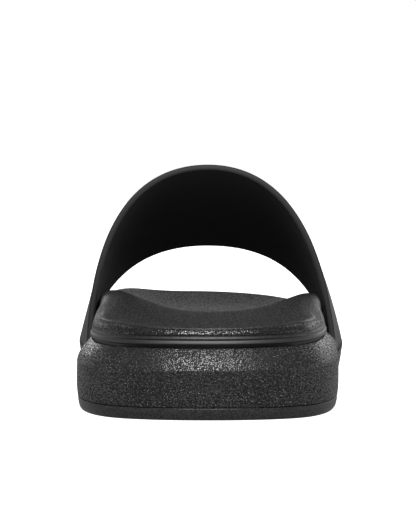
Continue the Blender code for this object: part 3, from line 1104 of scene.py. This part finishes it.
@dataclass
class Footbed(SubAssembly):
    """Moulded footbed: neck, smooth bead, fine rib, stippled rim, raised sides and dished top."""

    plan: SolePlan
    across_steps: int = 88
    flank_steps: int = 26
    lip_reach: Span = (0.016, 0.070)
    rib_reach: Span = (0.003, 0.016)
    neck_rounding: float = 0.0002
    stipple_reach: Span = (0.006, 0.040)
    side_stipple: float = 0.25
    crest_stipple: float = 0.5
    crest_turn: Span = (0.5, 1.0)
    crest_fall: Span = (0.0, 0.2)
    middle_softness: float = 0.12
    finish: FootbedFoam = FootbedFoam()
    steps: tuple[StepRow, ...] = (
        StepRow(0.00095, 0.00050, 0.00030, 0.00025, 0.0),
        StepRow(0.00130, 0.00000, 0.00000, 0.00030, 0.0),
        StepRow(0.00235, 0.00042, 0.00020, 0.00022, 0.0),
        StepRow(0.00257, 0.00085, 0.00045, 0.00012, 0.0),
        StepRow(0.00285, 0.00050, 0.00052, 0.00014, 0.1),
        StepRow(0.00345, 0.00074, 0.00058, 0.00016, 0.4),
        StepRow(0.00375, 0.00112, 0.00066, 0.00014, 0.2),
        StepRow(0.00405, 0.00085, 0.00072, 0.00016, 0.9),
    )
    sides: tuple[FlankRow, ...] = (
        FlankRow(0.000, 1.6, 0.04),
        FlankRow(0.012, 1.6, 0.10),
        FlankRow(0.030, 1.7, 0.26),
        FlankRow(0.060, 2.8, 0.34),
        FlankRow(0.120, 3.2, 0.30),
        FlankRow(0.155, 2.5, 0.22),
        FlankRow(0.190, 2.3, 0.18),
        FlankRow(0.288, 2.3, 0.12),
    )
    lip: tuple[LipRow, ...] = (
        LipRow(0.00, 0.00, 0.000),
        LipRow(0.12, 0.03, 0.100),
        LipRow(0.25, 0.12, 0.240),
        LipRow(0.42, 0.32, 0.420),
        LipRow(0.56, 0.52, 0.550),
        LipRow(0.62, 0.60, 0.600),
        LipRow(0.68, 0.63, 0.660),
        LipRow(0.78, 0.65, 0.800),
        LipRow(0.86, 0.69, 0.900),
        LipRow(0.93, 0.79, 0.970),
        LipRow(1.00, 1.00, 1.000),
    )
    middle: tuple[MiddleRow, ...] = (
        MiddleRow(0.0051, 0.0290, 2.6),
        MiddleRow(0.0120, 0.0272, 2.6),
        MiddleRow(0.0250, 0.0258, 2.4),
        MiddleRow(0.0500, 0.0249, 2.2),
        MiddleRow(0.0900, 0.0259, 2.1),
        MiddleRow(0.1200, 0.0267, 2.0),
        MiddleRow(0.1500, 0.0249, 2.0),
        MiddleRow(0.1900, 0.0211, 2.2),
        MiddleRow(0.2250, 0.0199, 2.4),
        MiddleRow(0.2550, 0.0210, 2.4),
        MiddleRow(0.2820, 0.0251, 2.4),
    )

    def build(self) -> bpy.types.Object:
        """Carry the side's section round the sole, and close it with the dish and an underside.

        Returns:
            The footbed.
        """
        plan = self.plan
        ledge = plan.sided("ledge")
        bead = plan.sided("bead")
        neck = bead + plan.neck() + plan.seat_gap
        corners = [
            Corner(neck, plan.seat_floor() + plan.seat_gap),
            Corner(neck, ledge + self.steps[0].height, self.neck_rounding),
        ]
        plain = smooth_step(*self.rib_reach, plan.along)
        for row in self.steps:
            inset = bead + row.back_setback + (row.side_setback - row.back_setback) * plain
            corners.append(Corner(inset, ledge + row.height, row.rounding, row.stipple))
        corners += self.flank(corners[-1].inset, corners[-1].height)
        profile, stipple = rounded_profile(corners)
        rings = plan.rings(profile)
        fade = self.stipple_fade(plan.along)
        flank = np.arange(len(stipple)) >= len(stipple) - self.flank_steps
        masks = {"stipple": stipple[:, None] * fade, "top": flank[:, None] * (1.0 - fade)}
        side = Sheet(rings, masks, closed=True)
        return weld("footbed_body", [side, self.dish(rings[-1]), Sheet(paired_strip(rings[0]))])

    def stipple_fade(self, along: Array) -> Array:
        """Strength of the stipple at distances along: full behind the heel, less on the sides."""
        return blend(1.0, self.side_stipple, smooth_step(*self.stipple_reach, along))

    def flank(self, base_inset: Array, base: Array) -> list[Corner]:
        """The rim's outer face: a lipped band behind the heel, a quarter superellipse in front.

        Args:
            base_inset: Insets of the band's lower edge, round the loop.
            base: Heights of that edge.

        Returns:
            Corners from just above that edge to the crest.
        """
        plan = self.plan
        brow, crest = plan.sided("brow"), plan.sided("crest")
        forward = smooth_step(*self.lip_reach, plan.along)
        bulge = 2.0 / read_table(self.sides, "fullness", plan.along)
        corners = []
        for turn in np.linspace(0.0, 1.0, self.flank_steps + 1)[1:]:
            angle = turn * math.pi / 2
            arc = (1.0 - max(math.cos(angle), 0.0) ** bulge, math.sin(angle) ** bulge)
            inset = read_table(self.lip, "inset", turn) * (1 - forward) + arc[0] * forward
            rise = read_table(self.lip, "rise", turn) * (1 - forward) + arc[1] * forward
            place = (blend(base_inset, brow, inset), blend(base, crest, rise))
            stipple = blend(1.0, self.crest_stipple, smooth_step(*self.crest_turn, turn))
            corners.append(Corner(*place, stipple=float(stipple)))
        return corners

    def dish(self, ring: Array) -> Sheet:
        """The top: rows across that fall from the rim to the middle line by a power curve.

        The share of the fall is 1 less the distance from the middle to a power; square roots
        round it off at the rim and at the middle line.

        Args:
            ring: The rim's points.

        Returns:
            The top as a sheet, with its masks.
        """
        pairs = paired_strip(ring)
        medial, lateral = pairs[:, :1], pairs[:, 1:]
        share = np.linspace(0.0, 1.0, self.across_steps + 1)[None, :, None]
        grid = medial + (lateral - medial) * share
        along = (medial[..., 1] + lateral[..., 1]) / 2 + self.plan.length / 2
        middle = read_table(self.middle, "height", along)
        power = read_table(self.middle, "dish", along)
        off = softened(np.abs(2.0 * share[..., 0] - 1.0), self.middle_softness)
        fall = softened(1.0 - off**power, read_table(self.sides, "softness", along))
        rim = np.where(share[..., 0] < 0.5, medial[..., 2], lateral[..., 2])
        grid[..., 2] = rim - (rim - middle) * fall
        grid[:, 0], grid[:, -1] = pairs[:, 0], pairs[:, 1]
        grid[0], grid[-1] = ring[0], pairs[-1, 0]
        stipple = self.crest_stipple * (1.0 - smooth_step(*self.crest_fall, fall))
        masks = {"stipple": stipple * self.stipple_fade(along), "top": np.ones_like(fall)}
        return Sheet(grid, masks)


@dataclass
class Strap(SubAssembly):
    """The upper: one wide moulded band of even thickness over the instep, with soft edges."""

    plan: SolePlan
    thickness: float = 0.0022
    foot_height: float = 0.0126
    flush: float = 0.0002
    edge_depth: float = 0.0008
    edge_squareness: float = 3.0
    inner_start: float = 0.7
    # Heights over which the painted shade near the sole fades out on the inner face.
    painted_shade_heights: Span = (0.024, 0.050)
    recess_gap: float = 0.0003
    recess_steps: tuple[int, int] = (120, 40)
    stand_off: float = 0.004
    along_steps: int = 48
    edge_steps: int = 14
    across_steps: int = 200
    finish: MouldedBand = MouldedBand()
    rows: tuple[StrapRow, ...] = (
        StrapRow(0.0, 0.112, 0.130, 0.110, 0.08115, 0.9, 4.4, 0.735, 0.546, 0.500),
        StrapRow(0.5, 0.162, 0.170, 0.161, 0.06560, 9.0, 10.4, 0.730, 0.580, 0.560),
        StrapRow(1.0, 0.212, 0.210, 0.212, 0.04970, 19.0, 18.5, 0.713, 0.510, 0.510),
    )

    def column(self, name: str, share: Array) -> Array:
        """One column of the rows, as a parabola through them.

        Args:
            name: Name of the column.
            share: Shares of the way from rear to front edge.

        Returns:
            The column's value at each share.
        """
        keys = [row.share for row in self.rows]
        values = [getattr(row, name) for row in self.rows]
        return np.polyval(np.polyfit(keys, values, len(keys) - 1), share)

    def half(self, side: Side, share: Array, q: Array) -> tuple[Array, Array]:
        """One half of the band's arch: a cubic that leaves the sole with a lean and ends level.

        Args:
            side: Which half.
            share: Shares of the way from rear to front edge.
            q: Shares of the way from foot to apex.

        Returns:
            Places across, and heights.
        """
        name = side.name.lower()
        foot = self.plan.half_width(side, self.column(f"{name}_along", share))
        foot = foot - side.value * self.flush - self.plan.heel_shift
        top = self.column("apex_height", share)
        lean = np.radians(self.column(f"{name}_lean", share))
        pull = self.column("foot_pull", share) * (top - self.foot_height)
        weights = ((1 - q) ** 3, 3 * q * (1 - q) ** 2, 3 * q**2 * (1 - q))
        knee = foot - side.value * pull * np.sin(lean)
        reach = foot * self.column(f"{name}_pull", share)
        across = weights[0] * foot + weights[1] * knee + weights[2] * reach + self.plan.heel_shift
        rise = self.foot_height + pull * np.cos(lean)
        height = weights[0] * self.foot_height + weights[1] * rise + (weights[2] + q**3) * top
        return across, height

    def outer(self, share: Array, turn: Array) -> Array:
        """Points of the outer face: two half arches across, on a parabola along.

        Args:
            share: Shares of the way from rear to front edge.
            turn: -1 at the medial foot, 0 at the apex, +1 at the lateral foot.

        Returns:
            Points of the frame.
        """
        q = 1.0 - np.abs(turn)
        halves = [self.half(side, share, q) for side in (Side.MEDIAL, Side.LATERAL)]
        across, height = (np.where(turn < 0, medial, lateral) for medial, lateral in zip(*halves))
        names = ("medial", "apex", "lateral")
        medial, apex, lateral = (self.column(f"{name}_along", share) for name in names)
        along = apex + (lateral - medial) / 2 * turn + ((lateral + medial) / 2 - apex) * turn**2
        return np.stack([across, along - self.plan.length / 2, height], axis=-1)

    def offset(self, share: Array, turn: Array, depth: Array) -> Array:
        """Points at a depth under the outer face, along its normal.

        Args:
            share: Shares of the way from rear to front edge.
            turn: Turns from medial to lateral foot.
            depth: Depths in metres, negative outside.

        Returns:
            Points of the frame.
        """
        step = 1e-4
        forward = self.outer(share + step, turn) - self.outer(share - step, turn)
        over = self.outer(share, turn + step) - self.outer(share, turn - step)
        normal = np.cross(over, forward)
        normal /= np.linalg.norm(normal, axis=-1, keepdims=True)
        return self.outer(share, turn) - normal * depth[..., None]

    def carry(self, shares: Array, depths: Array, turn: Array) -> Array:
        """Carry a loop of shares and depths over the foot.

        Args:
            shares: Shares round the loop, as turns x loop, from the middle of the rear edge.
            depths: Depths round the loop.
            turn: Turns from medial to lateral foot.

        Returns:
            Points of the frame, as turns x loop x 3.
        """
        turns = np.broadcast_to(turn[:, None], shares.shape)
        return self.offset(shares, turns, np.broadcast_to(depths, shares.shape))

    def build(self) -> bpy.types.Object:
        """The band: its loop is a thin rectangle whose ends are superellipses.

        Returns:
            The band.
        """
        turn = np.linspace(-1.0, 1.0, self.across_steps + 1)
        rear, front = (self.outer(np.full_like(turn, edge), turn) for edge in (0.0, 1.0))
        length = np.linalg.norm(front - rear, axis=1)[:, None]
        angle = np.linspace(0.0, math.pi / 2, self.edge_steps // 2 + 1)
        bulge = 2.0 / self.edge_squareness
        inset = self.edge_depth * (1.0 - np.cos(angle) ** bulge)
        half = self.thickness / 2
        depth = half * (1.0 - np.sin(angle) ** bulge)
        face = np.linspace(0.0, 1.0, self.along_steps + 1)[1:-1]
        spots = np.concatenate([np.zeros_like(angle), face, np.ones_like(angle)])
        insets = np.concatenate([inset, self.edge_depth * (1 - 2 * face), -inset[::-1]])
        depths = np.concatenate([depth, np.zeros_like(face), depth[::-1]])
        spots = np.concatenate([spots, spots[-2:0:-1]])
        insets = np.concatenate([insets, insets[-2:0:-1]])
        depths = np.concatenate([depths, self.thickness - depths[-2:0:-1]])
        rings = self.carry(spots + insets / length, depths, turn)
        inside = smooth_step(self.inner_start * self.thickness, self.thickness, depths)
        # Painted shade: the inner face's paleness fades out towards the sole, darkening it where
        # the strap meets the footbed.
        masks = {"inside": inside * smooth_step(*self.painted_shade_heights, rings[..., 2])}
        return weld("strap_band", capped(rings, masks))

    def recess(self) -> bpy.types.Object:
        """Cutter for the recess in the midsole: the band grown by a gap and opened outwards.

        Returns:
            The cutter.
        """
        rear, front = self.rows[0], self.rows[-1]
        girth = 2.0 * (rear.apex_height - self.foot_height)
        over, along = self.recess_steps
        turn = np.linspace(-1.0, 1.0, over + 1) * (1.0 + 2.0 * self.recess_gap / girth)
        grow = self.recess_gap / (front.apex_along - rear.apex_along)
        face = np.linspace(-grow, 1.0 + grow, along + 1)
        shares = np.concatenate([face[:1], face, face[-1:], face[::-1]])
        depths = np.full(len(shares), self.thickness + self.recess_gap)
        depths[1 : len(face) + 1] = -self.stand_off
        depths[[0, len(face) + 1]] = 0.0
        shares = np.broadcast_to(shares, (len(turn), len(shares)))
        return weld("strap_recess", capped(self.carry(shares, depths, turn)))


@dataclass(frozen=True)
class Softbox:
    """A soft rectangular lamp, given by where it shows from the shoe and how bright it looks.

    Angles are in degrees: azimuth from the camera's side, to the right; spread is half the
    width and half the height that the lamp shows. Brightness is its radiance.
    """

    name: str
    azimuth: float
    elevation: float
    spread: Span
    brightness: float
    distance: float = 1.5
    target: tuple[float, float, float] = (0.0, -0.08, 0.03)

    def hang(self) -> None:
        """Add the lamp, unseen by the camera; its power is pi times its area times its radiance."""
        turn, rise = math.radians(self.azimuth), math.radians(self.elevation)
        level = math.cos(rise)
        way = Vector((math.sin(turn) * level, -math.cos(turn) * level, math.sin(rise)))
        data = bpy.data.lights.new(self.name, "AREA")
        data.shape = "RECTANGLE"
        halves = (math.tan(math.radians(half)) for half in self.spread)
        data.size, data.size_y = (2.0 * self.distance * half for half in halves)
        data.energy = math.pi * data.size * data.size_y * self.brightness
        lamp = bpy.data.objects.new(self.name, data)
        lamp.location = Vector(self.target) + way * self.distance
        lamp.rotation_euler = (-way).to_track_quat("-Z", "Y").to_euler()
        lamp.visible_camera = False
        bpy.context.scene.collection.objects.link(lamp)


@dataclass
class Studio:
    """White floor, soft lamps, and the camera behind the heel."""

    plan: SolePlan
    focal_pixels: float = 2227.0
    horizon_row: float = 165.3
    camera_distance: float = 0.700
    camera_height: float = 0.0807
    clip_start: float = 0.01
    floor_reach: float = 4.0
    floor_steps: int = 8
    floor_drop: float = 0.0001
    floor_grey: float = 0.85
    floor_roughness: float = 0.9
    floor_cloud: float = 0.3
    floor_relief: float = 0.0001
    floor_glow: float = 1.0
    room_light: float = 0.32
    backdrop_light: float = 1.0
    lamps: tuple[Softbox, ...] = (
        Softbox("key", 0.0, 47.0, (7.0, 9.0), 30.0),
        Softbox("fill", 0.0, 4.0, (14.0, 8.0), 1.4),
        Softbox("overhead", 0.0, 90.0, (16.0, 16.0), 1.6),
        Softbox("left_side", -84.0, 2.0, (28.0, 6.0), 1.2),
        Softbox("right_side", 84.0, 4.0, (28.0, 8.0), 1.3),
        Softbox("left_back", -145.0, 9.0, (14.0, 10.0), 0.3),
        Softbox("right_back", 145.0, 10.0, (14.0, 10.0), 1.1),
        Softbox("left_rim", -165.0, 12.0, (5.0, 8.0), 3.0),
        Softbox("back", 180.0, 8.0, (6.0, 5.0), 1.35),
        Softbox("right_rim", 165.0, 12.0, (5.0, 8.0), 2.5),
    )

    def build(self) -> None:
        """Add the camera, the lamps, the room's light and the floor."""
        self.set_camera()
        for lamp in self.lamps:
            lamp.hang()
        self.light_room()
        self.lay_floor()

    def set_camera(self) -> None:
        """Stand the camera behind the heel, tilted down to the picture's middle."""
        data = bpy.data.cameras.new("camera")
        data.sensor_width = SENSOR_WIDTH
        data.lens = self.focal_pixels / max(IMAGE_WIDTH, IMAGE_HEIGHT) * SENSOR_WIDTH
        data.clip_start = self.clip_start
        camera = bpy.data.objects.new("camera", data)
        back = -self.plan.length / 2 - self.camera_distance
        camera.location = (self.plan.heel_shift, back, self.camera_height)
        down = math.atan((IMAGE_HEIGHT / 2 - self.horizon_row) / self.focal_pixels)
        camera.rotation_euler = (math.pi / 2 - down, 0.0, 0.0)
        bpy.context.scene.collection.objects.link(camera)
        bpy.context.scene.camera = camera

    def light_room(self) -> None:
        """Plain grey light from all round, with a white backdrop for the camera."""
        scene = bpy.context.scene
        scene.view_settings.view_transform = "Standard"
        scene.world = bpy.data.worlds.new("studio")
        sketch = Sketch(scene.world)
        room, backdrop = (
            sketch.node("ShaderNodeBackground", {}, {"Color": WHITE, "Strength": strength})
            for strength in (self.room_light, self.backdrop_light)
        )
        path = sketch.node("ShaderNodeLightPath", {}, {}).outputs["Is Camera Ray"]
        shaders = {0: path, 1: room.outputs["Background"], 2: backdrop.outputs["Background"]}
        mix = sketch.node("ShaderNodeMixShader", {}, shaders)
        sketch.node("ShaderNodeOutputWorld", {}, {"Surface": mix.outputs["Shader"]})

    def lay_floor(self) -> None:
        """A pale floor that glows a little, so that it stays white beyond the lamps."""
        edge = np.linspace(-self.floor_reach, self.floor_reach, self.floor_steps + 1)
        across, along = np.meshgrid(edge, edge)
        points = np.dstack([across, along, np.full_like(across, -self.floor_drop)])
        data = bpy.data.meshes.new("floor")
        data.from_pydata(points.reshape(-1, 3).tolist(), [], Sheet(points).quads().tolist())
        floor = bpy.data.objects.new("floor", data)
        bpy.context.scene.collection.objects.link(floor)
        floor.visible_glossy = False
        floor.visible_diffuse = False
        sketch = Sketch(bpy.data.materials.new("studio_floor"))
        cloud = sketch.noise(sketch.place(), self.floor_cloud)
        inputs = {
            "Base Color": (self.floor_grey, self.floor_grey, self.floor_grey, 1.0),
            "Roughness": self.floor_roughness,
            "Emission Color": WHITE,
            "Emission Strength": self.floor_glow,
        }
        data.materials.append(sketch.finish(inputs, cloud, self.floor_relief))


def settle(piece: bpy.types.Object, slot: Slot) -> None:
    """Let a piece stand for its solid and ride with it.

    Args:
        piece: The finished piece.
        slot: Its material slot, which is also the solid's name.
    """
    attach(piece, "root")
    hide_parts(slot.value)
    LOG.info("%s: %d faces", piece.name, len(piece.data.polygons))


def main() -> None:
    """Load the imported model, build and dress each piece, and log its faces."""
    logging.basicConfig(level=logging.INFO, format="%(message)s")
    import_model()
    plan = SolePlan()
    Studio(plan).build()

    strap = Strap(plan)
    midsole = Midsole(plan)
    outsole = Outsole(plan, midsole.inset(midsole.wall, 0.0))
    footbed = Footbed(plan)
    for part, slot, piece in (
        (outsole, Slot.OUTSOLE, outsole.build()),
        (midsole, Slot.MIDSOLE, midsole.build(strap.recess())),
        (footbed, Slot.FOOTBED, footbed.build()),
        (strap, Slot.STRAP, strap.build()),
    ):
        part.dress(piece)
        settle(piece, slot)


if __name__ == "__main__":
    main()
